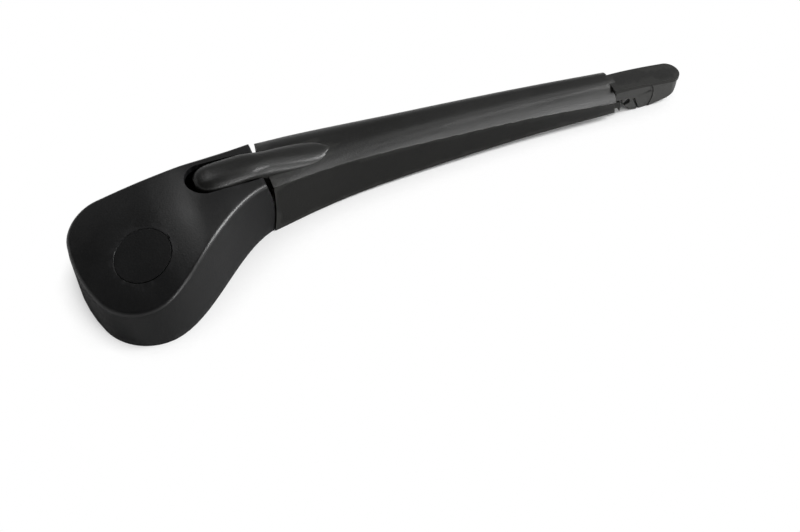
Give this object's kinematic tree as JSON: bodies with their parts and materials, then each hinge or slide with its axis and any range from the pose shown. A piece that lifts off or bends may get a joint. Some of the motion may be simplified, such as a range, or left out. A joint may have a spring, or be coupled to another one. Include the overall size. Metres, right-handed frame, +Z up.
{
  "type": "rear wiper arm",
  "caption": "Moulded rear wiper arm with a teardrop spindle head, a flush nut cover, a spring-loaded hinge and a nose that holds a blade.",
  "frame": {"origin": "on the spindle axis, at the middle of the plain mouth of the spindle insert, level with the rim of the head", "axes": "+X along the arm from the spindle to the tip, +Y to the straight far side of the head, +Z up through the nut cover; the spindle mount leaves along -Z"},
  "size_m": [0.3119, 0.0748, 0.0372],
  "materials": {
    "head_plastic": "fine grained, satin",
    "arm_plastic": "fine grained, satin",
    "cover_plastic": "fine grained, satin",
    "holder_plastic": "smooth, satin",
    "insert_zinc": "die cast, bare",
    "pin_steel": "ground and zinc plated",
    "clip_steel": "phosphated",
    "hook_steel": "stamped and zinc plated",
    "spring_steel": "drawn wire, lightly oiled"
  },
  "bodies": {
    "head": {"head_housing": "head_plastic", "spindle_insert": "insert_zinc", "hinge_pin": "pin_steel", "hinge_clip": "clip_steel", "hook_pin": "pin_steel"},
    "arm": {"arm_shell": "arm_plastic", "spring_anchor": "pin_steel", "blade_holder": "holder_plastic"},
    "spring": {"spring_hook": "hook_steel", "tension_spring": "spring_steel"},
    "cover": {"nut_cover": "cover_plastic"}
  },
  "joints": [
    {"name": "arm_lift", "type": "hinge", "parent": "head", "child": "arm", "pos_m": [0.05, 0.0303, 0.025], "axis": [0, -1, 0], "range_deg": [0, 65], "stiffness_Nm_per_rad": 0.2, "springref_deg": -57.3, "deforming": ["tension_spring"]},
    {"name": "spring_swing", "type": "hinge", "parent": "head", "child": "spring", "pos_m": [0.0433, 0.0303, 0.017], "axis": [0, -1, 0], "range_deg": [0, 60]},
    {"name": "cover_lift", "type": "slide", "parent": "head", "child": "cover", "axis": [-0.2428, -0.0988, 0.965], "range_m": [0, 0.012]}
  ],
  "couplings": [
    {"joint": "spring_swing", "follows": "arm_lift", "ratio": 0.9025}
  ]
}
